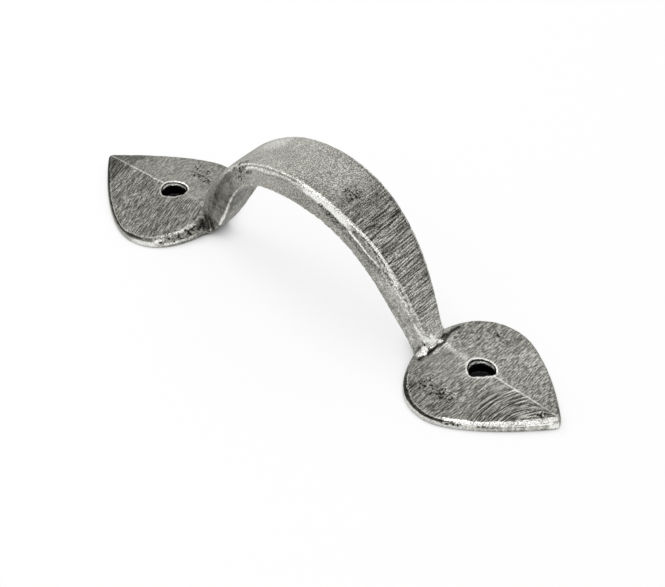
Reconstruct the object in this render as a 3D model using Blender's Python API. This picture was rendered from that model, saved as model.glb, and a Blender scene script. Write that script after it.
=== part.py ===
"""D handle for a cabinet door or a drawer.

Two spade-shaped plates are joined by an arched grip, and the whole handle is one casting. Each plate
has a low ridge from its tip to the neck, a screw hole on that ridge and a flat back. The casting is
one skin laid over a row of closed sections: they start at one tip, widen over the plate, narrow at
the neck, turn up into the grip, and run down the same way on the other side.

X runs along the handle, Y across it, and Z away from the door. The origin is midway between the
plates, on the plane of their backs. Sizes are in millimetres, and MM turns them into metres.
"""

import math

import bmesh
import bpy

MM = 0.001

# Whole handle
OVERALL_LENGTH = 118.0
PROJECTION = 31.1

# Plate outline, measured from the tip
PLATE_LENGTH = 31.3
PLATE_WIDTH = 29.8
WIDEST_FROM_TIP = 20.5
TIP_RADIUS = 0.9
TIP_HALF_ANGLE = 53.0
SIDE_FULLNESS_AT_TIP = 2.7
SIDE_FULLNESS_AT_WIDEST = 7.0
SHOULDER_FULLNESS_AT_WIDEST = 8.2
SHOULDER_FULLNESS_AT_NECK = 3.1
SHOULDER_LEAN = 10.7

# Plate thickness
RIDGE_HEIGHT_AT_TIP = 2.8
RIDGE_HEIGHT_AT_NECK = 4.4
FACET_HEIGHT_AT_WIDEST = 1.75
WALL_HEIGHT = 1.3
FAR_EDGE_THINNING = 0.5
EDGE_BEVEL = 0.6
EDGE_BEVEL_AT_NECK = 1.5
BACK_EDGE_BREAK = 0.25

# Screw holes
RIGHT_HOLE_FROM_TIP = 18.3
LEFT_HOLE_FROM_TIP = 19.4
HOLE_DIAMETER = 5.3

# Neck, where the plate turns up into the grip
NECK_WIDTH = 5.8
NECK_UNDER_WIDTH = 4.9
NECK_FLARE = 0.9
NECK_FLARE_RUN = 0.12
CREASE_FROM_TIP = 28.8
HEEL_FROM_TIP = 31.8

# Grip, at its crown
GRIP_WIDTH = 13.4
GRIP_UNDER_WIDTH = 16.2
GRIP_THICKNESS = 3.7
GRIP_BEVEL_WIDTH = 0.9
GRIP_BEVEL_DROP = 1.1
GRIP_CROWN = 0.15
GRIP_SWELL = 1.8

# Grip seen from the side: how each face leaves the neck and how full it is
OUTER_RISE_ANGLE = 49.0
OUTER_FULLNESS_AT_NECK = 3.8
OUTER_FULLNESS_AT_CROWN = 22.2
INNER_RISE_ANGLE = 44.0
INNER_FULLNESS_AT_NECK = 12.9
INNER_FULLNESS_AT_CROWN = 19.0

# How finely the skin is divided
TIP_STEPS = 3
SIDE_STEPS = 12
SHOULDER_STEPS = 12
GRIP_STEPS = 40
HOLE_SIDES = 40
SMOOTH_ANGLE = 32.0
WELD_DISTANCE = 0.001

# Finish
METAL_COLOUR = (0.33, 0.33, 0.32, 1.0)
METAL_ROUGHNESS = 0.45
METAL_METALLIC = 0.9

# Places worked out from the sizes above
TIP_X = OVERALL_LENGTH / 2
WIDEST_X = TIP_X - WIDEST_FROM_TIP
BACK_X = TIP_X - PLATE_LENGTH
RIGHT_HOLE_X = TIP_X - RIGHT_HOLE_FROM_TIP
LEFT_HOLE_X = LEFT_HOLE_FROM_TIP - TIP_X
CREASE_X = TIP_X - CREASE_FROM_TIP
HEEL_X = TIP_X - HEEL_FROM_TIP
HALF_PLATE = PLATE_WIDTH / 2
HALF_SHOULDER_END = NECK_WIDTH / 2 + NECK_FLARE
CUTTER_LENGTH = 4 * RIDGE_HEIGHT_AT_NECK
ROUND_INSET = 1.0 - math.sqrt(0.5)


def bezier(start, start_handle, end_handle, end, t):
    """Point at t on a cubic curve, for points of any number of coordinates."""
    s = 1.0 - t
    weights = (s * s * s, 3 * s * s * t, 3 * s * t * t, t * t * t)
    points = (start, start_handle, end_handle, end)
    return tuple(sum(w * p[i] for w, p in zip(weights, points)) for i in range(len(start)))


def shift(point, angle, distance):
    """The point moved by a distance along an angle in degrees."""
    turn = math.radians(angle)
    return (point[0] + distance * math.cos(turn), point[1] + distance * math.sin(turn))


def tip_arc():
    """Round nose of the plate, from the tip itself to where the straight side starts."""
    centre_x = TIP_X - TIP_RADIUS
    end_angle = 90.0 - TIP_HALF_ANGLE
    return [shift((centre_x, 0.0), end_angle * i / TIP_STEPS, TIP_RADIUS) for i in range(TIP_STEPS)]


def plate_outline():
    """Half of the plate seen from above, from the tip round the shoulder to the neck."""
    side_start = shift((TIP_X - TIP_RADIUS, 0.0), 90.0 - TIP_HALF_ANGLE, TIP_RADIUS)
    side_handle = shift(side_start, 180.0 - TIP_HALF_ANGLE, SIDE_FULLNESS_AT_TIP)
    widest = (WIDEST_X, HALF_PLATE)
    shoulder_end = (BACK_X, HALF_SHOULDER_END)
    shoulder_handle = shift(shoulder_end, 90.0 - SHOULDER_LEAN, SHOULDER_FULLNESS_AT_NECK)
    points = tip_arc()
    for i in range(SIDE_STEPS):
        points.append(bezier(side_start, side_handle, (WIDEST_X + SIDE_FULLNESS_AT_WIDEST, HALF_PLATE),
                             widest, i / SIDE_STEPS))
    for i in range(SHOULDER_STEPS + 1):
        points.append(bezier(widest, (WIDEST_X - SHOULDER_FULLNESS_AT_WIDEST, HALF_PLATE),
                             shoulder_handle, shoulder_end, i / SHOULDER_STEPS))
    return points


def inset(points, distances):
    """The outline moved inwards, square to itself. The tip stays on the middle line."""
    moved = []
    for i, ((x, y), distance) in enumerate(zip(points, distances)):
        before = points[i - 1] if i > 0 else (points[1][0], -points[1][1])
        after = points[min(i + 1, len(points) - 1)]
        along_x = after[0] - before[0]
        along_y = after[1] - before[1]
        length = math.hypot(along_x, along_y)
        moved.append((x - distance * along_y / length, y + distance * along_x / length))
    return moved


def ridge_height(x):
    """Height of the plate's ridge, which rises evenly from the tip to the neck."""
    share = (TIP_X - x) / CREASE_FROM_TIP
    return RIDGE_HEIGHT_AT_TIP + (RIDGE_HEIGHT_AT_NECK - RIDGE_HEIGHT_AT_TIP) * share


def facet_height(x, y, thinning):
    """Height of a facet, which falls away from the ridge to the plate's edge."""
    fall = (ridge_height(WIDEST_X) - FACET_HEIGHT_AT_WIDEST + thinning) / HALF_PLATE
    return ridge_height(x) - fall * y


def bevel_widths():
    """Width of the bevel round the plate's upper edge. It opens out over the shoulder, up to the neck."""
    widths = [EDGE_BEVEL] * (TIP_STEPS + SIDE_STEPS)
    for i in range(SHOULDER_STEPS + 1):
        widths.append(EDGE_BEVEL + (EDGE_BEVEL_AT_NECK - EDGE_BEVEL) * (i / SHOULDER_STEPS) ** 2)
    return widths


def whole_section(far_half, near_half):
    """A closed section from its two halves, whose last point is the same one on the middle line."""
    return far_half + [(x, -y, z) for x, y, z in reversed(near_half[:-1])]


def plate_half_sections(thinning):
    """Half sections of the +X plate, from the tip to the neck, all drawn on the +Y side."""
    outline = plate_outline()
    widths = bevel_widths()
    back = inset(outline, [BACK_EDGE_BREAK] * len(outline))
    middle = inset(outline, [width * ROUND_INSET for width in widths])
    top = inset(outline, widths)
    halves = []
    for (x, y), (back_x, back_y), (mid_x, mid_y), (top_x, top_y) in zip(outline, back, middle, top):
        facet = facet_height(top_x, top_y, thinning)
        wall = WALL_HEIGHT - thinning * y / HALF_PLATE
        ridge_x = TIP_X - EDGE_BEVEL - (CREASE_FROM_TIP - EDGE_BEVEL) * (TIP_X - x) / PLATE_LENGTH
        halves.append([
            (back_x, back_y, 0.0),
            (x, y, BACK_EDGE_BREAK),
            (x, y, wall),
            (mid_x, mid_y, facet - (facet - wall) * ROUND_INSET),
            (top_x, top_y, facet),
            (ridge_x, 0.0, ridge_height(ridge_x)),
        ])
    return halves


def plate_sections():
    """Sections of the +X plate. Its far edge, at +Y, was ground thinner than its near edge."""
    far = plate_half_sections(FAR_EDGE_THINNING)
    near = plate_half_sections(0.0)
    return [whole_section(far_half, near_half) for far_half, near_half in zip(far, near)]


def outer_face(t):
    """Point on the grip's outer face, seen from the side, from the crease to the crown."""
    start = (CREASE_X, RIDGE_HEIGHT_AT_NECK)
    start_handle = shift(start, 180.0 - OUTER_RISE_ANGLE, OUTER_FULLNESS_AT_NECK)
    return bezier(start, start_handle, (OUTER_FULLNESS_AT_CROWN, PROJECTION), (0.0, PROJECTION), t)


def inner_face(t):
    """Point on the grip's inner face, seen from the side, from the heel to under the crown."""
    start = (HEEL_X, 0.0)
    start_handle = shift(start, 180.0 - INNER_RISE_ANGLE, INNER_FULLNESS_AT_NECK)
    under_crown = PROJECTION - GRIP_THICKNESS
    return bezier(start, start_handle, (INNER_FULLNESS_AT_CROWN, under_crown), (0.0, under_crown), t)


def swell(t, at_neck, at_crown):
    """A size that grows from the neck to the crown."""
    return at_neck + (at_crown - at_neck) * math.sin(math.pi / 2 * t) ** GRIP_SWELL


def grip_section(t):
    """Section of the grip at t, which is 0 at the neck and 1 at the crown."""
    outer_x, outer_z = outer_face(t)
    inner_x, inner_z = inner_face(t)
    depth = math.hypot(outer_x - inner_x, outer_z - inner_z)
    flare = NECK_FLARE * max(0.0, 1.0 - t / NECK_FLARE_RUN) ** 2
    half_top = swell(t, NECK_WIDTH, GRIP_WIDTH) / 2 + flare
    half_under = swell(t, NECK_UNDER_WIDTH, GRIP_UNDER_WIDTH) / 2 + flare
    half_flat = half_top - GRIP_BEVEL_WIDTH

    def place(across, down):
        share = down / depth
        return (outer_x + (inner_x - outer_x) * share, across, outer_z + (inner_z - outer_z) * share)

    half = [
        place(half_under - BACK_EDGE_BREAK, depth),
        place(half_under, depth - BACK_EDGE_BREAK),
        place(half_top, GRIP_BEVEL_DROP),
        place(half_top - GRIP_BEVEL_WIDTH * ROUND_INSET, GRIP_BEVEL_DROP * ROUND_INSET),
        place(half_flat, 0.0),
        place(0.0, -GRIP_CROWN * t),
    ]
    return whole_section(half, half)


def handle_sections():
    """Every section from the +X tip to the -X tip."""
    half = plate_sections()
    half += [grip_section(i / GRIP_STEPS) for i in range(1, GRIP_STEPS + 1)]
    other = [[(-x, y, z) for x, y, z in section] for section in reversed(half[:-1])]
    return half + other


def skin(name, sections):
    """A closed mesh laid over the sections. At each tip a section closes onto itself."""
    shell = bmesh.new()
    rings = [[shell.verts.new((x * MM, y * MM, z * MM)) for x, y, z in section] for section in sections]
    count = len(sections[0])
    for ring, following in zip(rings, rings[1:]):
        for i in range(count):
            j = (i + 1) % count
            shell.faces.new((ring[i], ring[j], following[j], following[i]))
    bmesh.ops.remove_doubles(shell, verts=shell.verts, dist=WELD_DISTANCE * MM)
    bmesh.ops.recalc_face_normals(shell, faces=shell.faces)
    mesh = bpy.data.meshes.new(name)
    shell.to_mesh(mesh)
    shell.free()
    return mesh


def metal():
    """Dark pewter-coloured metal, half polished."""
    material = bpy.data.materials.new("pewter_metal")
    material.use_nodes = True
    shader = material.node_tree.nodes["Principled BSDF"]
    shader.inputs["Base Color"].default_value = METAL_COLOUR
    shader.inputs["Metallic"].default_value = METAL_METALLIC
    shader.inputs["Roughness"].default_value = METAL_ROUGHNESS
    return material


def hole_cutter(name, x):
    """Round cutter through a plate, longer than the plate is thick."""
    bpy.ops.mesh.primitive_cylinder_add(
        vertices=HOLE_SIDES,
        radius=HOLE_DIAMETER / 2 * MM,
        depth=CUTTER_LENGTH * MM,
        location=(x * MM, 0.0, 0.0),
    )
    cutter = bpy.context.object
    cutter.name = name
    cutter.hide_render = True
    cutter.display_type = "WIRE"
    return cutter


def make_handle():
    """The casting with both screw holes cut through it."""
    mesh = skin("handle_casting", handle_sections())
    mesh.materials.append(metal())
    mesh.shade_smooth()
    mesh.set_sharp_from_angle(angle=math.radians(SMOOTH_ANGLE))
    handle = bpy.data.objects.new("handle_casting", mesh)
    bpy.context.collection.objects.link(handle)
    for name, x in (("right_hole_cutter", RIGHT_HOLE_X), ("left_hole_cutter", LEFT_HOLE_X)):
        cut = handle.modifiers.new(name, "BOOLEAN")
        cut.operation = "DIFFERENCE"
        cut.solver = "EXACT"
        cut.object = hole_cutter(name, x)
    return handle


def clear_scene():
    """Start from an empty scene."""
    for leftover in list(bpy.data.objects):
        bpy.data.objects.remove(leftover, do_unlink=True)


clear_scene()
make_handle()
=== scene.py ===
# %% [markdown]
# # A cast D handle, dressed for its picture
# The handle is one casting: two spade-shaped plates and the arched grip between them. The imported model
# gives its exact shape, in metres, with X along the handle, Y across it and Z away from the door. This
# script lays a finely divided skin over that shape, gives it a hand-finished surface, and stands it on
# a white table in a plain studio.

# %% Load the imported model
import math

import bpy
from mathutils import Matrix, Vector


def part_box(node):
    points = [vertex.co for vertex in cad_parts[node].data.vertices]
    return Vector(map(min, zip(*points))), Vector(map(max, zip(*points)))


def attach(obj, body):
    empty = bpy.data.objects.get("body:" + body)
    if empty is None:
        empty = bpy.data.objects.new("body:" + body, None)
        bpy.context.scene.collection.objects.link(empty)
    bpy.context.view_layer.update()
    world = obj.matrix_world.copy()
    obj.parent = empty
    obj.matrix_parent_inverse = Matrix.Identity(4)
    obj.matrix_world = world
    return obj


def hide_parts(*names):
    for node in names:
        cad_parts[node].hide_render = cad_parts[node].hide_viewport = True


MM = 0.001

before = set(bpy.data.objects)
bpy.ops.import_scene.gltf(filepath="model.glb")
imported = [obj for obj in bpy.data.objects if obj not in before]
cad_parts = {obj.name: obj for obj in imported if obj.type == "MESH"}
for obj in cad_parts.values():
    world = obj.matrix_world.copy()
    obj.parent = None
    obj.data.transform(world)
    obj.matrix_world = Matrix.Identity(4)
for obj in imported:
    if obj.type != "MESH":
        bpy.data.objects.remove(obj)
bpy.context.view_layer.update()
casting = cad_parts["handle_casting"]
low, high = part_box("handle_casting")
HALF_LENGTH = (high.x - low.x) / 2 / MM
PROJECTION = (high.z - low.z) / MM
print("casting", round(2 * HALF_LENGTH, 1), "mm long and", round(PROJECTION, 1), "mm high")

# %% [markdown]
# ## Camera
# The picture looks down on the handle from its near right corner. A long lens, well back, keeps both
# plates almost the same size. The direction is given as two angles, because they are easy to read off:
# how far the camera has walked round the handle, and how far it has climbed.

# %% Place the camera
CAMERA_AZIMUTH = 40.835
CAMERA_ELEVATION = 42.83
CAMERA_DISTANCE = 378.4
CAMERA_TARGET = (1.49, 2.66, -2.85)
LENS = 102.37
SENSOR_WIDTH = 36.0


def direction(azimuth, elevation):
    """Unit vector from the handle towards a point in the studio, angles in degrees."""
    turn = math.radians(azimuth)
    climb = math.radians(elevation)
    level = math.cos(climb)
    return Vector((math.sin(turn) * level, -math.cos(turn) * level, math.sin(climb)))


def place_and_aim(name, data, azimuth, elevation, distance, target):
    """Put a camera or a lamp at a distance from a target, both in millimetres, and look at it."""
    thing = bpy.data.objects.new(name, data)
    bpy.context.scene.collection.objects.link(thing)
    towards = direction(azimuth, elevation)
    thing.location = (Vector(target) + towards * distance) * MM
    thing.rotation_euler = (-towards).to_track_quat("-Z", "Y").to_euler()
    return thing


def studio_camera():
    data = bpy.data.cameras.new("studio_camera")
    data.lens = LENS
    data.sensor_width = SENSOR_WIDTH
    data.clip_start = 10 * MM
    return place_and_aim("studio_camera", data, CAMERA_AZIMUTH, CAMERA_ELEVATION, CAMERA_DISTANCE,
                         CAMERA_TARGET)


camera = studio_camera()
bpy.context.scene.camera = camera
print("camera at", [round(c / MM) for c in camera.location], "mm")

# %% [markdown]
# ## A short way to write nodes
# Both the skin and its metal are node trees. Wiring each node by hand is long and hard to read, so one
# small class wraps a socket: sums on it add Math nodes, and its node method adds any other node. Then
# a mask such as 1 - mask reads as it would on paper.


# %% Wrap a socket
CORE = 0.3


def set_stops(ramp, stops):
    """Give a colour ramp its stops, each a position and a colour."""
    while len(ramp.elements) < len(stops):
        ramp.elements.new(1.0)
    for element, (position, colour) in zip(ramp.elements, stops):
        element.position = position
        element.color = colour


class Wire:
    """A socket of a node tree, which can be used in sums."""

    def __init__(self, tree, socket):
        self.tree = tree
        self.socket = socket

    def node(self, kind, settings=None, sockets=None, output=0):
        """A new node in the same tree. Its settings are set first, then its sockets by name or number."""
        made = self.tree.nodes.new(kind)
        for name, value in (settings or {}).items():
            if name == "stops":
                set_stops(made.color_ramp, value)
            else:
                setattr(made, name, value)
        for name, value in (sockets or {}).items():
            if isinstance(value, Wire):
                self.tree.links.new(value.socket, made.inputs[name])
            else:
                made.inputs[name].default_value = value
        return Wire(self.tree, made.outputs[output])

    def other(self, output):
        """Another output of the node that this wire comes from."""
        return Wire(self.tree, self.socket.node.outputs[output])

    def math(self, operation, *values):
        return self.node("ShaderNodeMath", {"operation": operation}, dict(enumerate(values)))

    def vector(self, operation, *values, output=0, **named):
        """A Vector Math node that starts from this wire."""
        sockets = dict(enumerate((self,) + values))
        sockets.update(named)
        return self.node("ShaderNodeVectorMath", {"operation": operation}, sockets, output)

    def __add__(self, value):
        return self.math("ADD", self, value)

    def __radd__(self, value):
        return self.math("ADD", value, self)

    def __sub__(self, value):
        return self.math("SUBTRACT", self, value)

    def __rsub__(self, value):
        return self.math("SUBTRACT", value, self)

    def __mul__(self, value):
        return self.math("MULTIPLY", self, value)

    def __rmul__(self, value):
        return self.math("MULTIPLY", value, self)

    def __truediv__(self, value):
        return self.math("DIVIDE", self, value)

    def __rtruediv__(self, value):
        return self.math("DIVIDE", value, self)

    def __neg__(self):
        return self.math("MULTIPLY", self, -1.0)

    def __abs__(self):
        return self.math("ABSOLUTE", self)

    def rises(self, start, end):
        """0 at start and 1 at end, on a smooth curve between them. Start may be the larger."""
        return self.node("ShaderNodeMapRange", {"interpolation_type": "SMOOTHSTEP"},
                         {"Value": self, "From Min": start, "From Max": end})

    def most(self, value):
        """The larger of two numbers."""
        return self.math("MAXIMUM", self, value)

    def least(self, value):
        """The smaller of two numbers."""
        return self.math("MINIMUM", self, value)


def noise(place, size, detail=2.0, seed=0.0, output=0):
    """Cloudy noise about 0.5, with lumps of about that size. Place and size are in millimetres."""
    return place.node("ShaderNodeTexNoise", {"noise_dimensions": "4D"},
                      {"Vector": place, "W": seed, "Scale": 1 / size, "Detail": detail}, output)


def split(vector):
    """The three numbers of a vector."""
    first = vector.node("ShaderNodeSeparateXYZ", None, {0: vector}, "X")
    return first, first.other("Y"), first.other("Z")


def near(place, middle, reach):
    """1 about a point and 0 beyond a reach from it. The inner part, the core, is all 1."""
    return place.vector("DISTANCE", middle, output="Value").rises(reach, CORE * reach)


def most_of(wires):
    """The largest of several numbers."""
    largest = None
    for wire in wires:
        largest = wire if largest is None else largest.most(wire)
    return largest


def near_any(place, clusters):
    """1 in the middle of each cluster and 0 outside all of them. A cluster is a middle and a reach."""
    return most_of(near(place, middle, reach) for middle, reach in clusters)


def path_distance(place, points):
    """Distance to a path of straight pieces."""
    nearest = None
    for begin, end in zip(points, points[1:]):
        along = Vector(end) - Vector(begin)
        share = place.vector("SUBTRACT", begin).vector("DOT_PRODUCT", along / along.length_squared,
                                                       output="Value")
        share = share.most(0.0).least(1.0)
        foot = share.node("ShaderNodeCombineXYZ", None, {
            "X": share * along.x + begin[0], "Y": share * along.y + begin[1],
            "Z": share * along.z + begin[2]})
        away = place.vector("DISTANCE", foot, output="Value")
        nearest = away if nearest is None else nearest.least(away)
    return nearest


print("node helper ready, with a core of", CORE, "of each reach")

# %% [markdown]
# ## The skin
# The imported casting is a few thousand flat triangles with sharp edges, and a real casting has none. A
# voxel remesh lays an even grid of small faces over the same shape. Even faces are what the next step
# needs, because it moves each point a little, as casting and filing did.

# %% Lay an even skin over the casting
SKIN_VOXEL = 0.27
MERGE_DISTANCE = 0.002


def skin_over(source, name):
    """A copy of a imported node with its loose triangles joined, under an even grid of small faces."""
    mesh = source.data.copy()
    mesh.materials.clear()
    skin = bpy.data.objects.new(name, mesh)
    bpy.context.scene.collection.objects.link(skin)
    join = skin.modifiers.new("join_triangles", "WELD")
    join.merge_threshold = MERGE_DISTANCE * MM
    grid = skin.modifiers.new("even_grid", "REMESH")
    grid.mode = "VOXEL"
    grid.voxel_size = SKIN_VOXEL * MM
    grid.use_smooth_shade = True
    return skin


handle = skin_over(casting, "handle")
print("the packed casting has", len(casting.data.polygons), "triangles")

# %% [markdown]
# ## Hand finishing, as a Geometry Nodes tree
# The real handle was cast, ground and filed by hand. Its faces wander by a few hundredths of a
# millimetre, its edges are blunt and nicked, and clusters of casting pits are left in a few places.
# Narrow grooves mark where the plates meet the grip, a small web fills the foot of one leg, and a lump
# and a thin lip of casting flash stand on the wall of each screw hole. All of that follows one rule, a
# small move of each point, so a Geometry Nodes tree suits it. The same tree measures how far each point
# stands out from its blurred surroundings. Outer edges stand out and inner corners lie back, and the
# metal uses that number to wear edges bright and to keep corners dark.

# %% Sizes of the hand finish, in millimetres
FINISH = {
    "Blunting Passes": 2,
    "Line Passes": 3,
    "Edge Passes": 10,
    "Wave Length": 7.0,
    "Wave Depth": 0.12,
    "Nick Length": 1.4,
    "Nick Depth": 0.09,
    "Pit Size": 0.52,
    "Pit Depth": 0.16,
    "Crease Depth": 0.10,
    "Web Height": 0.40,
    "Flash Width": 1.0,
    "Lip Width": 0.32,
}
# A cluster is a middle and a reach, and a pitted edge a path and a reach. A groove also has a depth.
PIT_CLUSTERS = [
    ((35.3, -9.4, 2.7), 4.2),
    ((38.4, -9.2, 2.6), 3.0),
    ((40.2, -8.4, 2.6), 1.8),
    ((-40.6, 9.0, 2.2), 4.6),
    ((-37.6, 7.6, 2.3), 3.6),
    ((9.3, -0.9, 29.6), 3.6),
    ((-14.2, -6.2, 26.0), 4.6),
    ((-28.6, -4.0, 2.4), 3.0),
    ((37.5, 10.0, 2.2), 3.2),
    ((55.6, -2.0, 2.7), 2.4),
]
PIT_COVER = 0.30
PIT_LEVEL = (0.82, 0.87)
PITTED_EDGES = [
    (((42.5, -14.0, 1.4), (47.0, -11.4, 1.3), (51.0, -8.5, 1.3)), 0.7),
    (((-32.0, -11.8, 1.3), (-30.0, -8.8, 1.9), (-28.4, -4.6, 2.6)), 1.7),
]
CREASES = [
    (((31.2, -0.4, 4.28), (31.2, 0.6, 4.24), (30.6, 2.4, 3.94), (30.1, 4.6, 3.58), (30.2, 6.6, 3.2)),
     0.36, 0.7),
    (((31.3, 0.5, 4.25), (31.2, -0.6, 4.26), (31.0, -2.4, 4.0), (30.8, -3.7, 3.8)), 0.44, 1.0),
    (((30.4, -4.6, 3.7), (30.2, -5.8, 3.5)), 0.42, 0.8),
    (((-29.7, -4.5, 3.7), (-30.3, -0.2, 4.4), (-30.2, 4.0, 3.6)), 0.36, 0.7),
]
CREASE_CORE = 0.4
WEBS = [
    ((30.1, -1.8, 4.2), 2.2),
]
FLASHES = [
    ((42.4, -1.9, 3.2), 2.7, 1.0),
    ((-38.2, -2.1, 3.0), 2.6, 0.5),
]
HOLES_X = (40.7, -39.6)
HOLE_RADIUS = 2.65
HOLE_SKIN = 0.1
FLASH_ROOT = 1.2
PLATE_FALL = 0.18
LIP_SIDE = (0.653, -0.757, 0.0)
LIP_SPREAD = (-0.1, 0.5)
LIP_HEIGHT = 3.0
LIP_TALL = 0.42
LIP_ROOT = 0.3
WAVE_SEED = 3.0
NICK_SEED = 11.0
NICK_LEVEL = (0.45, 0.75)
PIT_SEED = 5.0
EDGE_LEVEL = (0.03, 0.12)
OFF_THE_BACK = (0.2, 0.9)


def pit_share(place):
    """How thickly a place is pitted, from 0 to 1."""
    share = near_any(place, PIT_CLUSTERS)
    for points, reach in PITTED_EDGES:
        share = share.most(path_distance(place, points).rises(reach, CORE * reach))
    return share


def pit_marks(place, size, share, seed):
    """Small ragged pits. Share, from 0 to 1, says how much of a place they cover."""
    return (noise(place, size, 2.0, seed) + PIT_COVER * share).rises(*PIT_LEVEL)


def crease_mask(place):
    """1 in the narrow grooves where the plates meet the grip."""
    return most_of(path_distance(place, points).rises(reach, CREASE_CORE * reach) * depth
                   for points, reach, depth in CREASES)


def hole_axis(place):
    """From a place level to the nearer hole's axis, and that distance."""
    x, y = split(place)[:2]
    hole_x = HOLES_X[1] + (HOLES_X[0] - HOLES_X[1]) * x.math("GREATER_THAN", x, 0.0)
    level = place.node("ShaderNodeCombineXYZ", None, {"X": hole_x - x, "Y": -y, "Z": 0.0})
    return level, level.vector("LENGTH", output="Value")


def lip_mask(place):
    """1 on a narrow lip on the wall of each screw hole, on the side opposite LIP_SIDE."""
    y, z = split(place)[1:]
    level, away = hole_axis(place)
    seen = level.vector("NORMALIZE").vector("DOT_PRODUCT", LIP_SIDE, output="Value").rises(*LIP_SPREAD)
    below = z + PLATE_FALL * abs(y)
    lip = below.rises(LIP_HEIGHT - LIP_TALL, LIP_HEIGHT - CORE * LIP_TALL)
    lip = lip * below.rises(LIP_HEIGHT + LIP_TALL, LIP_HEIGHT + CORE * LIP_TALL)
    return lip * seen * away.rises(HOLE_RADIUS + LIP_ROOT, HOLE_RADIUS + HOLE_SKIN)


def flash_push(place, width, lip_width):
    """A push into each screw hole, where a lump of casting flash and a thin lip were left on its wall."""
    level, away = hole_axis(place)
    share = sum(near(place, middle, reach) * size for middle, reach, size in FLASHES)
    share = share * away.rises(HOLE_RADIUS + FLASH_ROOT, HOLE_RADIUS + HOLE_SKIN)
    push = share * width + lip_mask(place) * lip_width
    return level.vector("NORMALIZE").vector("SCALE", Scale=push)


# %% Build the finishing tree
def tree_inputs(tree, sizes):
    """Name the tree's inputs, and return their wires by name."""
    tree.interface.new_socket("Geometry", in_out="INPUT", socket_type="NodeSocketGeometry")
    for name, value in sizes.items():
        kind = "NodeSocketInt" if isinstance(value, int) else "NodeSocketFloat"
        tree.interface.new_socket(name, in_out="INPUT", socket_type=kind)
    tree.interface.new_socket("Metal", in_out="INPUT", socket_type="NodeSocketMaterial")
    tree.interface.new_socket("Geometry", in_out="OUTPUT", socket_type="NodeSocketGeometry")
    entry = tree.nodes.new("NodeGroupInput")
    return {socket.name: Wire(tree, socket) for socket in entry.outputs if socket.name}


def blurred(field, passes):
    """A vector field averaged with its neighbours on the mesh."""
    return field.node("GeometryNodeBlurAttribute", {"data_type": "FLOAT_VECTOR"},
                      {"Value": field, "Iterations": passes})


def stored(geometry, name, value):
    """The geometry with a number kept at each of its points."""
    return geometry.node("GeometryNodeStoreNamedAttribute", {"data_type": "FLOAT", "domain": "POINT"},
                         {"Geometry": geometry, "Name": name, "Value": value})


def read(geometry, name):
    """A number kept by an earlier step."""
    return geometry.node("GeometryNodeInputNamedAttribute", {"data_type": "FLOAT"}, {"Name": name})


def stand_out(position, normal, passes):
    """How far a point stands out from its blurred surroundings, in millimetres."""
    out = position.vector("SUBTRACT", blurred(position, passes))
    return out.vector("DOT_PRODUCT", normal, output="Value") / MM


def finishing_tree():
    tree = bpy.data.node_groups.new("hand_finishing", "GeometryNodeTree")
    given = tree_inputs(tree, FINISH)
    skin = given["Geometry"]
    position = skin.node("GeometryNodeInputPosition")
    normal = skin.node("GeometryNodeInputNormal")

    measured = stored(skin, "edge", stand_out(position, normal, given["Edge Passes"]))
    measured = stored(measured, "line", stand_out(position, normal, given["Line Passes"]))
    place = position.vector("SCALE", Scale=1 / MM)
    measured = stored(measured, "bore", hole_axis(place)[1])
    measured = stored(measured, "crease", crease_mask(place))
    measured = stored(measured, "lip", lip_mask(place))
    blunt = skin.node("GeometryNodeSetPosition", None,
                      {"Geometry": measured, "Position": blurred(position, given["Blunting Passes"])})

    wave = noise(place, given["Wave Length"], 1.0, WAVE_SEED) - 0.5
    nick = noise(place, given["Nick Length"], 2.0, NICK_SEED).rises(*NICK_LEVEL)
    nick = nick * read(skin, "edge").rises(*EDGE_LEVEL)
    pit = pit_marks(place, given["Pit Size"], pit_share(place), PIT_SEED)
    raised = given["Wave Depth"] * wave + given["Web Height"] * near_any(place, WEBS)
    sunk = given["Nick Depth"] * nick + given["Pit Depth"] * pit
    sunk = sunk + given["Crease Depth"] * read(skin, "crease")
    off_the_back = split(place)[2].rises(*OFF_THE_BACK)
    offset = normal.vector("SCALE", Scale=(raised - sunk) * off_the_back)
    push = flash_push(place, given["Flash Width"], given["Lip Width"])
    offset = offset.vector("ADD", push).vector("SCALE", Scale=MM)
    finished = skin.node("GeometryNodeSetPosition", None, {"Geometry": blunt, "Offset": offset})

    real = skin.node("GeometryNodeRealizeInstances", None, {"Geometry": finished})
    coated = skin.node("GeometryNodeSetMaterial", None, {"Geometry": real, "Material": given["Metal"]})
    end = tree.nodes.new("NodeGroupOutput")
    tree.links.new(coated.socket, end.inputs["Geometry"])
    return tree


finishing = finishing_tree()
print("finishing tree has", len(finishing.nodes), "nodes")

# %% [markdown]
# ## Metal
# The finish is dark wax patina rubbed back to grey metal: soft grey faces full of fine scratches across
# the handle, edges and ridges rubbed almost white, and black left in pits, corners and deep scratches.
# One number, the tone, says how far each point has been rubbed back, and it also carries painted light
# and shade, such as lighter plate walls and grip sides and darkened screw holes. Scratches, grain,
# edges and pits each push it up or down, and a single ramp turns it into colour, so they all blend as
# one finish.

# %% Start the metal and measure places on it
TONES = [
    (0.0, (0.006, 0.006, 0.005, 1.0)),
    (0.25, (0.065, 0.064, 0.058, 1.0)),
    (0.5, (0.236, 0.232, 0.207, 1.0)),
    (0.75, (0.502, 0.496, 0.456, 1.0)),
    (1.0, (0.980, 0.975, 0.945, 1.0)),
]
PLATE_START = (29.4, 30.8)
SIDES_MEET = 0.4
HALVES_MEET = 2.0
# How far a face looks up, out and sideways, from 0 for not at all to 1 for straight
UPWARD = (0.3, 0.7)
OUTWARD = (-0.1, 0.2)
SIDEWARD = (0.6, 0.8)

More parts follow.
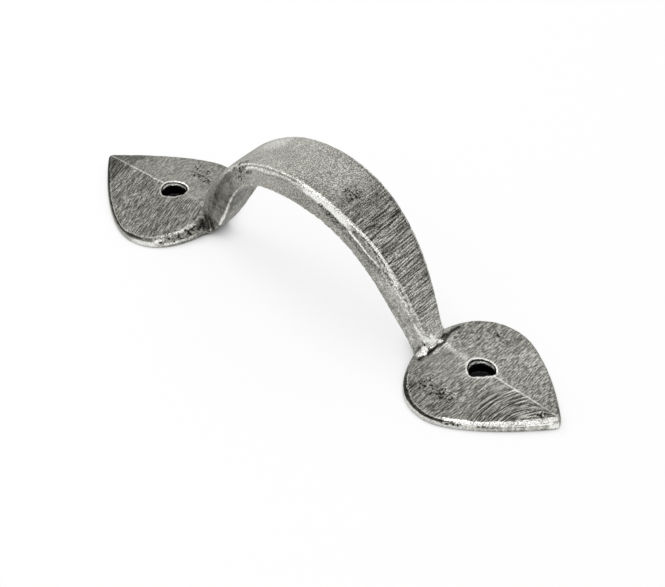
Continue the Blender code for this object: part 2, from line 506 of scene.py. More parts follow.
metal = bpy.data.materials.new("hand_ground_waxed_iron")
metal.use_nodes = True
shader = metal.node_tree.nodes["Principled BSDF"]
start = Wire(metal.node_tree, metal.node_tree.nodes["Material Output"].inputs[0])
place = start.node("ShaderNodeTexCoord", None, None, "Object").vector("SCALE", Scale=1 / MM)
x, y, z = split(place)
facing_x, facing_y, facing_z = split(start.node("ShaderNodeNewGeometry", None, None, "Normal"))
edge, line, bore, crease, lip = [start.node("ShaderNodeAttribute", {"attribute_name": name}, None, "Fac")
                                 for name in ("edge", "line", "bore", "crease", "lip")]

on_plate = abs(x).rises(*PLATE_START)
on_grip = 1 - on_plate
near_side = y.rises(SIDES_MEET, -SIDES_MEET)
far_side = 1 - near_side
right_half = x.rises(-HALVES_MEET, HALVES_MEET)
left_half = 1 - right_half
face_up = facing_z.rises(*UPWARD)
outward = (facing_z + facing_x * (right_half * 2 - 1)).rises(*OUTWARD)
face_side = abs(facing_y).rises(*SIDEWARD)
print("tones run over", len(TONES), "stops")

# %% [markdown]
# ### Scratches and grain
# A file leaves bundles of long thin scratches, all leaning nearly the same way. Noise stretched along
# one direction gives exactly that. Most run almost straight across the handle, and each plate has a
# lean of its own. On the near half of the right plate the file was swung from the wrist, so towards the
# tip they follow arcs, and noise in polar coordinates about the middle of those arcs draws them. On the
# crown of the grip hardly any are left, and the metal shows its grain instead.

# %% Scratches across the handle, arcs near the tip, and grain
# Strokes have a width and a length in millimetres, a lean in degrees and a seed.
ACROSS = (0.24, 7.0, 2.0, 21.0)
LEANING = (0.24, 5.0, -8.0, 22.0)
LONG = (0.25, 14.0, 4.0, 32.0)
FAR_PLATE = (0.25, 7.0, 14.0, 20.0)
FINE = (0.14, 2.4, 0.0, 23.0)
GOUGES = (0.50, 5.0, 3.0, 24.0)
GOUGE_LEVEL = (0.60, 0.70)
ARC_MIDDLE = (61.3, -8.2)
ARC_REACH = (19.0, 14.5)
ARC_SIDE = (0.3, -0.6)
ARC_STROKE = (0.32, 5.0)
ARC_SEED = 25.0
# A noise has the size of its lumps in millimetres, its detail and its seed.
BEND = (6.0, 1.0, 20.0)
BEND_SHIFT = 0.32
GRAIN = (0.26, 2.0, 26.0)
PATCHES = (5.0, 3.0, 27.0)

bend = noise(place, *BEND, output=1).vector("SCALE", Scale=BEND_SHIFT)
bent_place = place.vector("ADD", bend)


def strokes(width, length, lean, seed):
    """Scratches along Y but for their lean."""
    turned = place.node("ShaderNodeMapping", {"vector_type": "TEXTURE"},
                        {"Vector": bent_place, "Rotation": (0.0, 0.0, math.radians(lean)),
                         "Scale": (width, length, width)})
    return noise(turned, 1.0, 1.0, seed)


def arc_strokes():
    """Scratches along arcs about ARC_MIDDLE, and how strongly they show."""
    bent_x, bent_y = split(bent_place)[:2]
    from_x = bent_x - ARC_MIDDLE[0]
    from_y = bent_y - ARC_MIDDLE[1]
    radius = x.math("SQRT", from_x * from_x + from_y * from_y)
    turn = from_y.math("ARCTAN2", from_y, from_x)
    width, length = ARC_STROKE
    polar = place.node("ShaderNodeCombineXYZ", None,
                       {"X": radius / width, "Y": turn * ARC_REACH[1] / length, "Z": 0.0})
    return noise(polar, 1.0, 1.0, ARC_SEED), radius.rises(*ARC_REACH) * y.rises(*ARC_SIDE) * right_half


def sharpened(wire, softness=0.12):
    """Noise with more contrast, from -1 to 1."""
    return wire.rises(0.5 - softness, 0.5 + softness) * 2 - 1


across, leaning, long_strokes, on_the_far_plate, fine = [
    sharpened(strokes(*kind)) for kind in (ACROSS, LEANING, LONG, FAR_PLATE, FINE)]
gouges = strokes(*GOUGES).rises(*GOUGE_LEVEL)
arcs, arcs_show = arc_strokes()
arcs = sharpened(arcs)
grain = sharpened(noise(place, *GRAIN))
patches = noise(place, *PATCHES) - 0.5
print("scratches lean", ACROSS[2], "and", LEANING[2], "degrees, with arcs about", ARC_MIDDLE)

# %% Where the scratches are strong
# A pair of lengths says where along X a mark begins to show, and where it shows in full.
LEG_FROM = (7.0, 17.0)
LEG_TO = (29.5, 27.0)
COARSE_GRAIN_FROM = (-6.0, 4.0)
ON_LEG = 1.45
ON_NEAR_PLATE = 1.1
ON_FAR_PLATE = 0.62
MORE_ON_NEAR_SIDE = 0.22
ARC_CONTRAST = 1.5
ARC_GOUGES = 0.5
SMOOTH_PLACE = ((34.0, -3.0, 3.8), 7.0)
SMOOTH_LOSS = 0.4
SIDE_LOSS = 0.75
PLAIN_GRAIN = 0.085
GRIP_GRAIN = 0.055
COARSE_GRAIN = 0.05
SIDE_GRAIN_LOSS = 0.45

on_leg = x.rises(*LEG_FROM) * x.rises(*LEG_TO) * on_grip
on_near_plate = on_plate * right_half
on_far_plate = on_plate * left_half
scratch = across * on_grip + leaning * (on_near_plate * near_side) + on_the_far_plate * on_far_plate
scratch = scratch + long_strokes * on_near_plate * far_side
scratch = scratch * (1 - arcs_show) + arcs * arcs_show * ARC_CONTRAST
scratch_share = on_leg * ON_LEG + on_near_plate * ON_NEAR_PLATE
scratch_share = scratch_share + on_far_plate * (ON_FAR_PLATE + MORE_ON_NEAR_SIDE * near_side)
scratch_share = scratch_share * (1 - SMOOTH_LOSS * near(place, *SMOOTH_PLACE)) * (1 - SIDE_LOSS * face_side)
gouge_share = (on_leg + arcs_show * ARC_GOUGES).least(1.0) * (1 - face_side)
grip_grain = GRIP_GRAIN + COARSE_GRAIN * x.rises(*COARSE_GRAIN_FROM)
grain_share = PLAIN_GRAIN + on_grip * grip_grain * (1 - SIDE_GRAIN_LOSS * face_side)
print("scratches fade towards the crown of the grip")

# %% [markdown]
# ### Edges, ridges, rims and corners
# Rubbing reaches what stands out, so outer edges are bright. The bevel along the grip is drawn across
# its own width: a thin line on each of its borders, and between them a strip that is rubbed white in
# some places and still pitted in others. On the near side that white strip is also a painted highlight,
# and so is the white bevel towards the tip of the near plate. Two more places are too flat for the edge
# measure and are drawn by their position: the ridge along each plate, and the rim of each screw hole.

# %% Lines and strips along the grip's bevel
GRIP_END = 30.2
GRIP_HALF_AT_CROWN = 6.7
GRIP_HALF_AT_NECK = 2.9
GRIP_TAPER = 2.5
BEVEL = 0.9
WANDER = (2.5, 2.0, 28.0)
WANDER_SHIFT = 0.5
SPECKS = (0.5, 2.0, 31.0)
SPECK_LEVEL = (0.46, 0.60)
# Where along X each mark begins to show, and where it shows in full
PAST_CROWN = (-3.0, 5.0)
PAST_WHITE = (10.0, 14.0)
RUBBED_AND_LIT_FROM = (-1.0, 4.0)
RUBBED_AND_LIT_TO = (15.0, 11.5)
FAR_MARKS_FROM = (2.0, 6.0)
BORDER_TO = (23.0, 19.0)
LEG_STRIP_FROM = (17.0, 22.0)
BACK_STRIP_FROM = (-6.0, -12.0)
# Where each line lies in from the side of the grip, and how its width fades
OUTER_LINE_IN = 0.28
FAR_LINE_IN = 1.05
INNER_LINE = (0.24, 0.06)
INNER_LINE_WIDER = 0.10
OUTER_LINE = (0.22, 0.06)
FAR_LINE = (0.26, 0.10)
FAR_WANDER = 0.6
STRIP_FROM = (-0.15, 0.05)
STRIP_TO = (1.0, 0.8)
# How far a border's face looks sideways, from 0 to 1
BORDER_UPPER = (0.55, 0.68)
BORDER_LOWER = (0.95, 0.85)
BORDER_STRENGTH = 0.6
INNER_LINE_STRENGTH = 0.55
INNER_LINE_NEARER = 0.35

taper = x.math("POWER", abs(x) / GRIP_END, GRIP_TAPER)
inward = GRIP_HALF_AT_CROWN - (GRIP_HALF_AT_CROWN - GRIP_HALF_AT_NECK) * taper - abs(y)
wander = (noise(place, *WANDER) - 0.5) * WANDER_SHIFT
on_outside = on_grip * outward
past_crown = x.rises(*PAST_CROWN)
past_white = x.rises(*PAST_WHITE)
wider = INNER_LINE_WIDER * past_white
inner_line = abs(inward - BEVEL + wander).rises(INNER_LINE[0] + wider, INNER_LINE[1] + wider) * on_outside
inner_line = inner_line * (INNER_LINE_STRENGTH + INNER_LINE_NEARER * near_side) * (0.5 + 0.5 * past_crown)
outer_line = abs(inward - OUTER_LINE_IN + wander).rises(*OUTER_LINE) * (1 - past_white)
border = abs(facing_y).rises(*BORDER_UPPER) * abs(facing_y).rises(*BORDER_LOWER) * past_white
border = border * x.rises(*BORDER_TO)
outer_line = outer_line.most(border * BORDER_STRENGTH) * on_outside * near_side
strip = (inward + wander).rises(*STRIP_FROM) * (inward + wander).rises(*STRIP_TO) * on_outside
# Rubbed white, and also a painted highlight, on the near side of the grip's bevel.
rubbed_and_highlighted_strip = strip * near_side * x.rises(*RUBBED_AND_LIT_FROM) * x.rises(*RUBBED_AND_LIT_TO)
far_marks = far_side * x.rises(*FAR_MARKS_FROM)
far_border = strip * far_marks
far_line = abs(inward - FAR_LINE_IN + wander * FAR_WANDER).rises(*FAR_LINE) * on_outside * far_marks
leg_strip = strip * near_side * x.rises(*LEG_STRIP_FROM)
back_strip = strip * near_side * x.rises(*BACK_STRIP_FROM)
specks = noise(place, *SPECKS).rises(*SPECK_LEVEL)
print("the grip's bevel is", BEVEL, "mm wide")

# %% Holes, ridges and plate edges
RIM_WIDTH = 0.52
RIM_FADE = 0.1
HOLE_WALL = (0.09, 0.02)
CLEAR_OF_HOLE = (4.0, 4.5)
RIDGE_WIDTH = 0.30
SOFT_RIDGE = (1.0, 0.2)
SOFT_RIDGE_STRENGTH = 0.45
# Where along X each mark begins to show, and where it shows in full
PAST_HOLE = (37.5, 43.0)
WHITE_FROM = (43.0, 47.0)
NEAR_DARK_FROM = (46.0, 42.0)
FAR_DARK_FROM = (-34.5, -36.5)
PITTED_FROM = (-34.0, -32.0)
UNDER_LINE_FROM = (44.0, 50.0)
LOW_WALL_FROM = (48.0, 52.0)
# How far a face looks up, from 0 for a wall to 1 for a level face
BORDER_TOP = (0.975, 0.955)
BORDER_BOTTOM = (0.84, 0.89)
BORDER_SHARE = 0.8
BEVEL_TOP = (0.93, 0.86)
BEVEL_BOTTOM = (0.2, 0.4)
WALL_TOP = (0.35, 0.15)
UNDER_TOP = (0.46, 0.34)
UNDER_BOTTOM = (0.05, 0.16)
FAR_DARK_BOTTOM = (0.65, 0.50)
FAR_DARK_LOSS = 0.7
LOW_WALL_TOP = (0.75, 0.45)

# The walls of the screw holes, which are darkened below as painted shade.
in_hole = bore.rises(HOLE_RADIUS + HOLE_WALL[0], HOLE_RADIUS + HOLE_WALL[1]) * on_plate
rim = bore.rises(HOLE_RADIUS + RIM_WIDTH + RIM_FADE, HOLE_RADIUS + 0.5 * RIM_WIDTH) * on_plate
past_hole = abs(x).rises(*PAST_HOLE)
ridge = abs(y + wander).rises(RIDGE_WIDTH, CORE * RIDGE_WIDTH) * past_hole
soft_ridge = abs(y + wander).rises(*SOFT_RIDGE) * (1 - past_hole) * SOFT_RIDGE_STRENGTH
ridge = ridge.most(soft_ridge) * on_plate * face_up

plate_rim = on_plate * bore.rises(*CLEAR_OF_HOLE)
top_border = facing_z.rises(*BORDER_TOP) * facing_z.rises(*BORDER_BOTTOM) * plate_rim
plate_bevel = facing_z.rises(*BEVEL_TOP) * facing_z.rises(*BEVEL_BOTTOM) * plate_rim
plate_wall = facing_z.rises(*WALL_TOP) * plate_rim
# Worn white, and also a painted highlight, along the near plate's near bevel towards its tip.
worn_and_highlighted_bevel = plate_bevel.most(top_border * BORDER_SHARE) * near_side * x.rises(*WHITE_FROM)
near_dark = right_half * x.rises(*NEAR_DARK_FROM)
far_dark = x.rises(*FAR_DARK_FROM) * (1 - FAR_DARK_LOSS * facing_z.rises(*FAR_DARK_BOTTOM))
dark_bevel = plate_bevel * near_side * near_dark.most(far_dark)
pitted_bevel = plate_bevel.most(top_border) * left_half * near_side * x.rises(*PITTED_FROM)
under_line = facing_z.rises(*UNDER_TOP) * facing_z.rises(*UNDER_BOTTOM) * near_side
under_line = under_line * x.rises(*UNDER_LINE_FROM)
low_wall = plate_wall * z.rises(*LOW_WALL_TOP) * near_side * x.rises(*LOW_WALL_FROM)
# Painted reflection: the near plate's near wall is lightened as if it mirrored the white table.
wall_reflection = plate_wall * near_side * right_half
thin_dark = plate_bevel * far_side
print("rims are", RIM_WIDTH, "mm wide, and a ridge reaches", RIDGE_WIDTH, "mm to each side")

# %% [markdown]
# ### Lines
# A few marks are single lines: white lines along the grip's bevel and on the edges of the plates, worn
# metal that is partly a painted highlight, white lines round the foot of the near leg, which are a
# painted highlight, and black lines beside the bevel, in the neck and in the bend of the far leg. Each
# is a path, how far it reaches on both sides, and how strong it is.

# %% White and black lines, in millimetres
WORN_LINES_AND_HIGHLIGHTS = [
    (((42.5, -13.3, 1.6), (47.2, -10.8, 1.7), (53.0, -6.3, 1.9), (57.8, -1.5, 2.1)), 0.66, 1.45),
    # Painted highlight round the foot of the near leg, in this line and the next two.
    (((29.5, -4.4, 3.7), (30.2, -2.0, 4.15), (30.8, 0.1, 4.35)), 1.05, 2.6),
    (((30.0, -2.0, 4.6), (28.8, -2.8, 6.0), (27.3, -3.3, 8.2)), 0.42, 1.3),
    (((30.1, -1.0, 4.8), (29.3, -1.2, 5.8)), 0.46, 1.6),
    (((31.8, 0.4, 4.25), (34.6, -0.1, 4.15)), 0.70, 0.45),
    (((-32.5, -12.9, 1.7), (-31.0, -10.4, 2.2), (-29.6, -7.6, 3.0), (-28.3, -3.6, 4.0)), 0.42, 1.2),
    (((-31.0, -11.8, 0.9), (-30.1, -10.3, 1.0), (-28.4, -6.5, 1.15), (-26.6, -2.9, 1.8)), 0.40, 0.7),
    (((-12.8, -6.6, 22.6), (-15.4, -6.0, 19.8), (-16.7, -5.6, 17.9), (-18.4, -5.0, 15.2), (-20.6, -4.0, 11.0),
      (-22.2, -3.3, 7.9), (-24.1, -2.7, 4.3)), 0.38, 0.9),
    (((12.5, -5.75, 27.8), (14.5, -5.4, 26.7), (16.6, -5.0, 25.25), (19.0, -4.5, 23.05), (21.45, -4.45, 20.0),
      (23.3, -4.2, 17.2)), 0.34, 1.4),
    (((13.3, -6.2, 26.15), (15.2, -6.0, 24.6), (17.0, -5.8, 22.8), (19.4, -5.4, 20.6)), 0.28, 1.0),
    (((-25.9, -3.4, 7.8), (-24.2, -4.1, 12.5), (-22.2, -4.8, 17.2), (-19.3, -5.3, 22.0), (-17.0, -5.2, 24.8),
      (-12.2, -5.5, 28.2)), 0.34, 0.6),
]
BLACK_LINES = [
    (((-27.8, -3.0, 4.9), (-26.9, -3.1, 1.5)), 0.50, 1.4),
    (((-26.7, -2.9, 4.9), (-25.8, -2.8, 2.4)), 0.58, 1.4),
    (((-16.3, -5.8, 24.2), (-19.0, -5.5, 20.8), (-21.8, -4.9, 16.6), (-24.3, -4.1, 10.8), (-26.6, -3.2, 5.6)),
     0.95, 0.55),
    (((-33.3, -0.1, 4.1), (-32.3, 1.0, 4.05)), 0.34, 0.7),
    (((30.2, -2.9, 4.1), (29.4, -2.9, 4.9), (28.6, -3.3, 5.4)), 0.32, 1.2),
    (((30.4, -1.3, 4.6), (29.9, -1.7, 5.0), (29.0, -1.9, 6.2)), 0.22, 1.0),
    (((-28.1, -4.8, 2.3), (-28.3, -3.4, 2.7)), 0.60, 1.0),
    (((-16.5, -5.8, 24.4), (-15.8, -5.8, 25.2)), 0.60, 0.9),
    (((-14.6, -6.0, 25.9), (-13.5, -6.0, 26.7)), 0.65, 1.0),
    (((-12.0, -6.4, 26.8), (-11.1, -6.4, 27.3)), 0.55, 0.9),
    (((7.5, -6.9, 28.5), (9.0, -6.8, 27.9), (13.2, -6.4, 25.4), (17.0, -5.9, 22.0), (19.8, -5.3, 19.4)),
     0.70, 0.60),
    (((6.5, -6.7, 29.1), (8.3, -6.65, 28.4), (10.7, -6.55, 27.2), (12.5, -6.3, 26.5)), 0.45, 0.9),
    (((14.2, -5.9, 26.2), (16.2, -5.5, 24.7), (18.4, -5.1, 22.7), (21.0, -4.8, 19.4), (22.4, -4.6, 17.2)),
     0.38, 0.9),
    (((30.3, 6.4, 3.25), (30.2, 4.7, 3.6), (30.4, 3.0, 3.85), (30.4, 1.35, 4.15), (30.9, 0.5, 4.25)),
     0.42, 1.2),
    (((-17.2, -4.6, 17.3), (-18.6, -3.9, 14.6), (-20.1, -3.0, 11.4)), 0.34, 0.7),
]
LINE_CORE = 0.5
SWAY = (1.6, 1.0, 29.0)
SWAY_SHIFT = 0.5
SPECKLE = (0.34, 2.0, 33.0)
SPECKLE_LEVEL = (0.50, 0.60)
SPECKLED_SHARE = 0.75


def drawn(place, lines):
    """How strongly any of the lines shows at a place."""
    return most_of(path_distance(place, points).rises(reach, LINE_CORE * reach) * strength
                   for points, reach, strength in lines)


sway = noise(place, *SWAY, output=1).vector("SUBTRACT", (0.5, 0.5, 0.5)).vector("SCALE", Scale=SWAY_SHIFT)
swaying_place = place.vector("ADD", sway)
worn_lines_and_highlights = drawn(swaying_place, WORN_LINES_AND_HIGHLIGHTS)
speckle = noise(place, *SPECKLE).rises(*SPECKLE_LEVEL)
black_lines = drawn(swaying_place, BLACK_LINES) * (1 - SPECKLED_SHARE + SPECKLED_SHARE * speckle)
black_lines = black_lines.least(1.0)
print(len(WORN_LINES_AND_HIGHLIGHTS), "white lines and", len(BLACK_LINES), "black lines")

# %% [markdown]
# ### Touches
# No two places on a hand-finished casting have quite the same colour. Each touch here is a place, how
# far it reaches, and how much lighter or darker the metal is there than the rest. Some touches are
# painted light and shade: a lighter crown, lower near leg and far facet of the near plate, a darker
# patch on the grip's top, and a painted highlight at the foot of the near leg.

# %% Lighter and darker places, in millimetres and tone
TOUCHES_AND_PAINTED_LIGHT = [
    # Painted light: the crown is lighter.
    ((-8.0, 0.0, 31.0), 17.0, 0.13),
    ((-14.5, 3.5, 29.0), 6.0, 0.15),
    ((7.0, 1.0, 30.0), 8.0, 0.11),
    # Painted shade: a darker patch on the grip's top.
    ((10.0, -1.0, 29.0), 4.0, -0.07),
    ((15.0, 2.0, 26.0), 6.0, -0.05),
    ((21.0, 0.0, 21.0), 5.0, 0.05),
    # Painted light: the lower near leg is lighter.
    ((26.0, 0.0, 12.0), 5.0, 0.10),
    ((29.0, 1.0, 6.5), 6.0, 0.25),
    ((24.0, -4.2, 15.0), 5.0, 0.10),
    ((55.6, -1.0, 2.8), 2.2, -0.16),
    ((49.0, -6.5, 2.6), 7.0, -0.09),
    ((40.0, -11.0, 2.4), 4.5, -0.07),
    # Painted light: the far facet of the near plate is lighter.
    ((45.0, 7.0, 2.4), 15.0, 0.09),
    ((35.0, -1.0, 3.8), 9.0, 0.05),
    ((-43.0, 6.0, 2.8), 9.0, 0.05),
    ((-34.0, 3.0, 3.8), 4.0, 0.07),
    ((-21.5, -4.5, 15.0), 8.0, -0.16),
    ((-18.5, -5.8, 20.0), 4.0, -0.08),
    ((-26.2, -3.2, 3.6), 3.0, -0.14),
    ((33.0, -11.5, 2.0), 3.0, -0.12),
    # Painted highlight at the foot of the near leg.
    ((30.0, -1.6, 4.6), 1.8, 0.40),
]
CHATTER = (1.2, 3.0, 30.0)


def added(marks):
    """The sum of several marks, each times its own strength."""
    return sum(mark * change for mark, change in marks)


touched_and_painted_light = added((near(place, middle, reach), change) for middle, reach, change in TOUCHES_AND_PAINTED_LIGHT)
corner = (-edge).rises(*EDGE_LEVEL)
pits = pit_marks(place, FINISH["Pit Size"], pit_share(place), PIT_SEED)
chatter = noise(place, *CHATTER) - 0.5
inside = (1 - outward) * on_grip
print(len(TOUCHES_AND_PAINTED_LIGHT), "touches")

# %% [markdown]
# ### One tone
# Now the tone is a plain sum. It starts in the middle of the ramp, scratches and grain move it both
# ways, worn places pull it up, and dark places pull it down last, because a pit stays black even on a
# bright edge. Some marks are painted light and shade: painted reflections on the plate walls, lighter
# side faces on the grip, painted highlights on bevels and at the foot of the near leg, a darker near
# facet on the far plate and darkened screw holes. Every mark stands in a list with its own strength,
# so that one can be changed alone. The same worn and highlighted places also set the roughness, as
# rubbed metal is smoother than wax.

# %% Worn, dark and light marks
THIN_LEVEL = (0.038, 0.085)
THIN_RAGGED = 0.02
THIN_STRENGTH = 0.65
THIN_LOSS = 0.25
FAR_TIP_FROM = (-52.3, -52.9)
# A spot low on the far plate's near wall where the painted reflection of the table is strongest.
WALL_REFLECTION_SPOT = ((-34.5, -14.2, 0.7), 4.5)
SIDE_LIGHT_FROM = (2.0, 9.0)

ragged = grain * 0.5 + patches
thin = (line + ragged * THIN_RAGGED).rises(*THIN_LEVEL)
thin = thin * (THIN_STRENGTH - THIN_LOSS * on_grip * near_side * (1 - past_crown))
worn_and_highlighted_evenly = [
    (inner_line, 0.8),
    (outer_line, 0.55),
    (rubbed_and_highlighted_strip, 1.1),
    (ridge, 0.7),
    (rim, 0.95),
    (lip, 2.0),
    (top_border * near_side, 0.35),
]
# Worn metal, and on the white bevel and white lines partly a painted highlight.
worn_and_highlighted_in_patches = [
    (worn_and_highlighted_bevel, 1.1, 0.4),
    (worn_lines_and_highlights, 1.05, 0.5),
    (far_border, 0.42, 0.5),
    (pitted_bevel, 0.4, 0.8),
]
far_tip = on_far_plate * x.rises(*FAR_TIP_FROM) * face_up
dark_marks_and_painted_shade = [
    (dark_bevel, 0.36),
    (dark_bevel * left_half, -0.08),
    (thin_dark, 0.08),
    (strip * (1 - rubbed_and_highlighted_strip), 0.06),
    (under_line, 0.22),
    (low_wall, 0.14),
    (low_wall * speckle, 0.30),
    (far_line, 0.20),
    # Painted shade: the near facet of the far plate is darker than its far facet.
    (on_far_plate * near_side * face_up, 0.09),
    (far_tip, 0.14),
    (far_tip * near_side, 0.04),
]
# Painted light: the grip's side faces are made lighter, as faces that mirror the white surroundings,
side = face_side * on_grip
# and more so from the crown towards the near leg.
light_marks_and_painted_light = [
    (side, 0.06),
    (side * x.rises(*SIDE_LIGHT_FROM), 0.07),
    # Painted reflection: the plate walls are lightened as if they mirrored the white table.
    (plate_wall, 0.14),
    (plate_wall * near(place, *WALL_REFLECTION_SPOT), 0.30),
    (wall_reflection, 0.20),
    (leg_strip, 0.04),
    (leg_strip * specks, 0.26),
    (back_strip, 0.08),
]
print(len(dark_marks_and_painted_shade), "dark marks and", len(light_marks_and_painted_light), "light marks")

# %% Add up the tone and connect it
MIDDLE_TONE = 0.5
DARK_BEVEL_LOSS = 0.9
THIN_DARK_LOSS = 0.5
SCRATCH_TONE = 0.15
FINE_TONE = 0.04
FINE_WITH_SCRATCHES = 0.03
WORN_SCRATCH_LOSS = 0.5
PATCH_TONE = 0.20
FLAT_PATCH_LOSS = 0.10
CHATTER_TONE = 0.08
INSIDE_CHATTER_TONE = 0.7
GOUGE_TONE = 0.16
WORN_TONE = 0.38
PAINTED_HOLE_SHADE = 0.90
LIP_SHOWS = 1.8
WAX_ROUGHNESS = 0.50
WORN_SMOOTHER = 0.20
CORNER_ROUGHER = 0.15
BUMP_DEPTH = 0.04

bright = most_of([thin] + [mark * strength for mark, strength in worn_and_highlighted_evenly]
                 + [mark * (strength + ragged * patchy) for mark, strength, patchy in worn_and_highlighted_in_patches])
bright = bright * (1 - DARK_BEVEL_LOSS * dark_bevel) * (1 - THIN_DARK_LOSS * thin_dark)
scratched = scratch * scratch_share * SCRATCH_TONE + fine * (FINE_TONE + FINE_WITH_SCRATCHES * scratch_share)
grained = grain * grain_share
gouged = gouges * gouge_share
tone = MIDDLE_TONE + added(light_marks_and_painted_light) + touched_and_painted_light
tone = tone + patches * (PATCH_TONE - FLAT_PATCH_LOSS * on_plate.most(face_side))
tone = tone + chatter * (CHATTER_TONE + INSIDE_CHATTER_TONE * inside)
tone = tone + scratched * (1 - WORN_SCRATCH_LOSS * bright) + grained - gouged * GOUGE_TONE
tone = tone + bright * WORN_TONE - added(dark_marks_and_painted_shade)
for mark, loss in [(corner, 0.6), (pits, 0.80), (crease, 0.92), (black_lines, 0.9)]:
    tone = tone * (1 - loss * mark)
# Painted shade: the walls of the screw holes are made nearly black, except on the lip.
tone = tone * (1 - in_hole * (PAINTED_HOLE_SHADE - (lip * LIP_SHOWS).least(PAINTED_HOLE_SHADE)))
colour = tone.node("ShaderNodeValToRGB", {"stops": TONES}, {"Fac": tone})
roughness = WAX_ROUGHNESS - WORN_SMOOTHER * bright + CORNER_ROUGHER * corner
height = added([(scratched, 4.0), (grained, 3.0), (gouged, -0.8), (pits, -1.0)])
bump = height.node("ShaderNodeBump", None,
                   {"Height": height, "Distance": BUMP_DEPTH * MM, "Strength": 1.0})

links = metal.node_tree.links
links.new(colour.socket, shader.inputs["Base Color"])
links.new(roughness.socket, shader.inputs["Roughness"])
links.new(bump.socket, shader.inputs["Normal"])
shader.inputs["Metallic"].default_value = 1.0
print("metal has", len(metal.node_tree.nodes), "nodes")

# %% [markdown]
# ## Apply the finish
# A modifier is only a recipe, and the export wants a plain mesh. So the tree's inputs are set, each by
# its identifier, the finished surface is copied out as a mesh, and the modifiers go. The new piece
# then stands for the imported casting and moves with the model's one body.

# %% Turn the recipe into a mesh
def apply_finish(skin, tree, sizes, material):
    """Run the tree on the skin and keep the result as the skin's own mesh."""
    finish = skin.modifiers.new("hand_finish", "NODES")
    finish.node_group = tree
    wanted = dict(sizes, Metal=material)
    for item in tree.interface.items_tree:
        if item.in_out == "INPUT" and item.name in wanted:
            finish[item.identifier] = wanted[item.name]
    depsgraph = bpy.context.evaluated_depsgraph_get()
    mesh = bpy.data.meshes.new_from_object(skin.evaluated_get(depsgraph), depsgraph=depsgraph)
    skin.modifiers.clear()
    skin.data = mesh
    mesh.name = skin.name
    return mesh


skin_mesh = apply_finish(handle, finishing, FINISH, metal)
print("skin has", len(skin_mesh.polygons), "faces")
for name in ("edge", "line"):
    measures = sorted(item.value for item in skin_mesh.attributes[name].data)
    print(name, "runs from", round(measures[0], 3), "to", round(measures[-1], 3), "mm, and 95% are under",
          round(measures[len(measures) * 19 // 20], 3))

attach(handle, "root")
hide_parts("handle_casting")

# %% [markdown]
# ## Table and background
# The handle lies on a white table that melts into a white background. To the camera and to reflections
# the table glows a little, so that it reads as white without more light on the handle. The glow fades
# where the handle is close, which leaves the contact shadow. Under each screw hole the table's glow and
# colour are also darkened by position, a painted shade that keeps the bottom of the holes dark.

# %% Make the table
TABLE_HALF = 2000.0
TABLE_GAP = 0.02
GLOW_SHARE = 0.75
CONTACT_REACH = 9.0
CONTACT_RAYS = 16
WHITE_ABOVE = 0.75
HOLE_FADE = 0.4
HOLE_SHADE_ON_GLOW = 0.985
HOLE_SHADE_ON_COLOUR = 0.9


def table_material():
    material = bpy.data.materials.new("white_table")
    material.use_nodes = True
    tree = material.node_tree
    output = tree.nodes["Material Output"]
    tree.nodes.remove(tree.nodes["Principled BSDF"])
    begin = Wire(tree, output.inputs[0])
    rays = begin.node("ShaderNodeLightPath", None, None, "Is Camera Ray")
    seen = rays + rays.other("Is Glossy Ray") + rays.other("Is Transmission Ray")
    open_sky = begin.node("ShaderNodeAmbientOcclusion", {"samples": CONTACT_RAYS},
                          {"Distance": CONTACT_REACH * MM}, "AO")
    place = begin.node("ShaderNodeTexCoord", None, None, "Object").vector("SCALE", Scale=1 / MM)
    from_above = 1 - begin.node("ShaderNodeNewGeometry", None, None, "Backfacing")
    # Painted shade: under each screw hole the table's glow and colour are darkened.
    shade_down_a_hole = hole_axis(place)[1].rises(HOLE_RADIUS + HOLE_FADE, HOLE_RADIUS) * from_above
    glow_white = open_sky.rises(0.0, WHITE_ABOVE) * (1 - HOLE_SHADE_ON_GLOW * shade_down_a_hole)
    white = begin.node("ShaderNodeBsdfDiffuse", None, {"Color": 1 - HOLE_SHADE_ON_COLOUR * shade_down_a_hole})
    glow = begin.node("ShaderNodeEmission", None, {"Color": glow_white})
    mixed = begin.node("ShaderNodeMixShader", None, {0: seen * GLOW_SHARE, 1: white, 2: glow})
    tree.links.new(mixed.socket, output.inputs["Surface"])
    return material


def table():
    corners = [(-1, -1), (1, -1), (1, 1), (-1, 1)]
    mesh = bpy.data.meshes.new("table")
    mesh.from_pydata([(a * TABLE_HALF * MM, b * TABLE_HALF * MM, -TABLE_GAP * MM) for a, b in corners],
                     [], [(0, 1, 2, 3)])
    mesh.materials.append(table_material())
    made = bpy.data.objects.new("table", mesh)
    bpy.context.scene.collection.objects.link(made)
    return made


table()
print("table lies", TABLE_GAP, "mm under the plates")

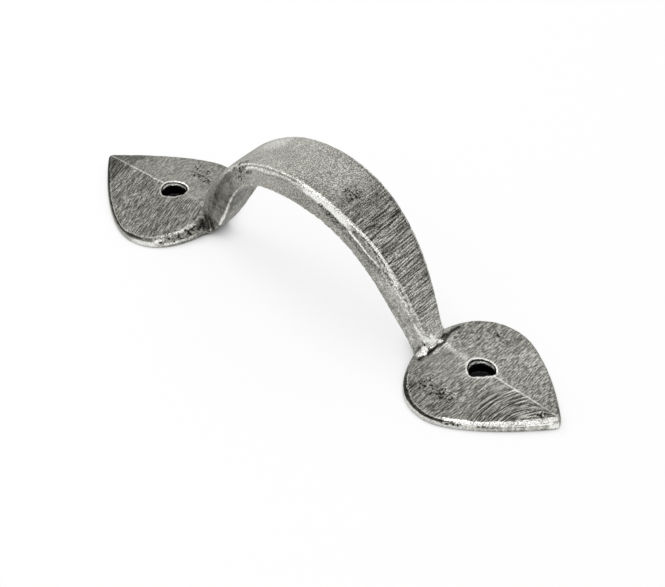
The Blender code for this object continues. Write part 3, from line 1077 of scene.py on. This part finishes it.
# %% [markdown]
# ## Light
# White surroundings light the metal evenly. A metal takes all its shape from what it mirrors, so the
# surroundings are not one flat white to reflections: they are white low down all round and on the
# side that the plates and the crown mirror, and a light grey high up on the other side. A large
# soft lamp overhead and three weaker ones round the front add the glints along the edges and the soft
# shadow under the grip.

# %% Light the studio
SURROUND_LIGHT = 0.70
WHITE_SIDE = direction(221.0, 20.0)
WHITE_SPREAD = (0.40, 0.90)
LOW_DOWN = (0.45, 0.10)
GREY = 0.72
LAMP_TARGET = (0.0, 0.0, 10.0)
# Name, azimuth and elevation in degrees, distance and size in millimetres, power in watts
LAMPS = [
    ("top_softbox", -90.0, 60.0, 600.0, 260.0, 1.0),
    ("front_softbox", 36.0, 50.0, 600.0, 150.0, 0.17),
    ("left_softbox", -44.0, 48.0, 600.0, 150.0, 0.05),
    ("right_softbox", 100.0, 52.0, 600.0, 250.0, 0.12),
]


def surroundings():
    world = bpy.data.worlds.new("white_studio")
    world.use_nodes = True
    tree = world.node_tree
    background = tree.nodes["Background"]
    begin = Wire(tree, background.outputs[0])
    rays = begin.node("ShaderNodeLightPath", None, None, "Is Camera Ray")
    mirrored = rays.other("Is Glossy Ray")
    towards = begin.node("ShaderNodeTexCoord", None, None, "Generated")
    white_side = towards.vector("DOT_PRODUCT", WHITE_SIDE, output="Value").rises(*WHITE_SPREAD)
    low_down = split(towards)[2].rises(*LOW_DOWN)
    studio = GREY + (1 - GREY) * white_side.most(low_down)
    others = 1 - rays - mirrored - rays.other("Is Transmission Ray")
    strength = rays + rays.other("Is Transmission Ray") + mirrored * studio + others * SURROUND_LIGHT
    tree.links.new(strength.socket, background.inputs["Strength"])
    background.inputs["Color"].default_value = (1.0, 1.0, 1.0, 1.0)
    return world


def softbox(name, azimuth, elevation, distance, size, power):
    data = bpy.data.lights.new(name, "AREA")
    data.size = size * MM
    data.energy = power
    return place_and_aim(name, data, azimuth, elevation, distance, LAMP_TARGET)


bpy.context.scene.world = surroundings()
for lamp in LAMPS:
    softbox(*lamp)
bpy.context.scene.view_settings.view_transform = "Standard"
print("lit by", len(LAMPS), "softboxes")
